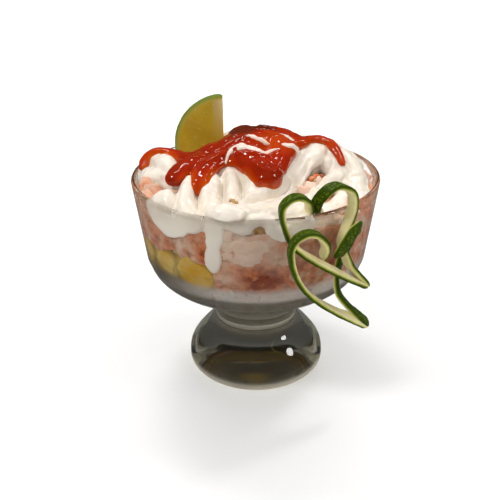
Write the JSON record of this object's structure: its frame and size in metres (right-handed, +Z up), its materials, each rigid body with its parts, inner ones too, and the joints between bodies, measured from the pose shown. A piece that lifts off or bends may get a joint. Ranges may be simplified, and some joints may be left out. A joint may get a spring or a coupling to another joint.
{
  "type": "prawn cocktail",
  "caption": "Footed dessert glass layered with fruit chunks, chopped prawns and cream under glossy red cocktail sauce, with a lime wedge and heart-shaped curls of lime peel on its rim.",
  "frame": {"origin": "centre of the foot's flat underside, on the glass's axis", "axes": "+Z up along the glass's axis; the peel hearts hang on the front right of the rim, at -Y and +X, and the lime wedge stands at the back left, at +Y and -X"},
  "size_m": [0.11, 0.1189, 0.127],
  "materials": {
    "clear_glass": "clear, polished",
    "prawns": "moist, flaky",
    "yellow_fruit": "moist, translucent",
    "cream": "soft sheen",
    "red_sauce": "wet gloss",
    "lime_flesh": "moist, translucent",
    "lime_peel": "waxy, dimpled"
  },
  "bodies": {
    "root": {"glass": "clear_glass", "prawn_filling": "prawns", "fruit_layer": "yellow_fruit", "cream_topping": "cream", "cocktail_sauce": "red_sauce", "lime_wedge": "lime_flesh", "peel_heart_upper": "lime_peel", "peel_heart_lower": "lime_peel"}
  },
  "joints": []
}
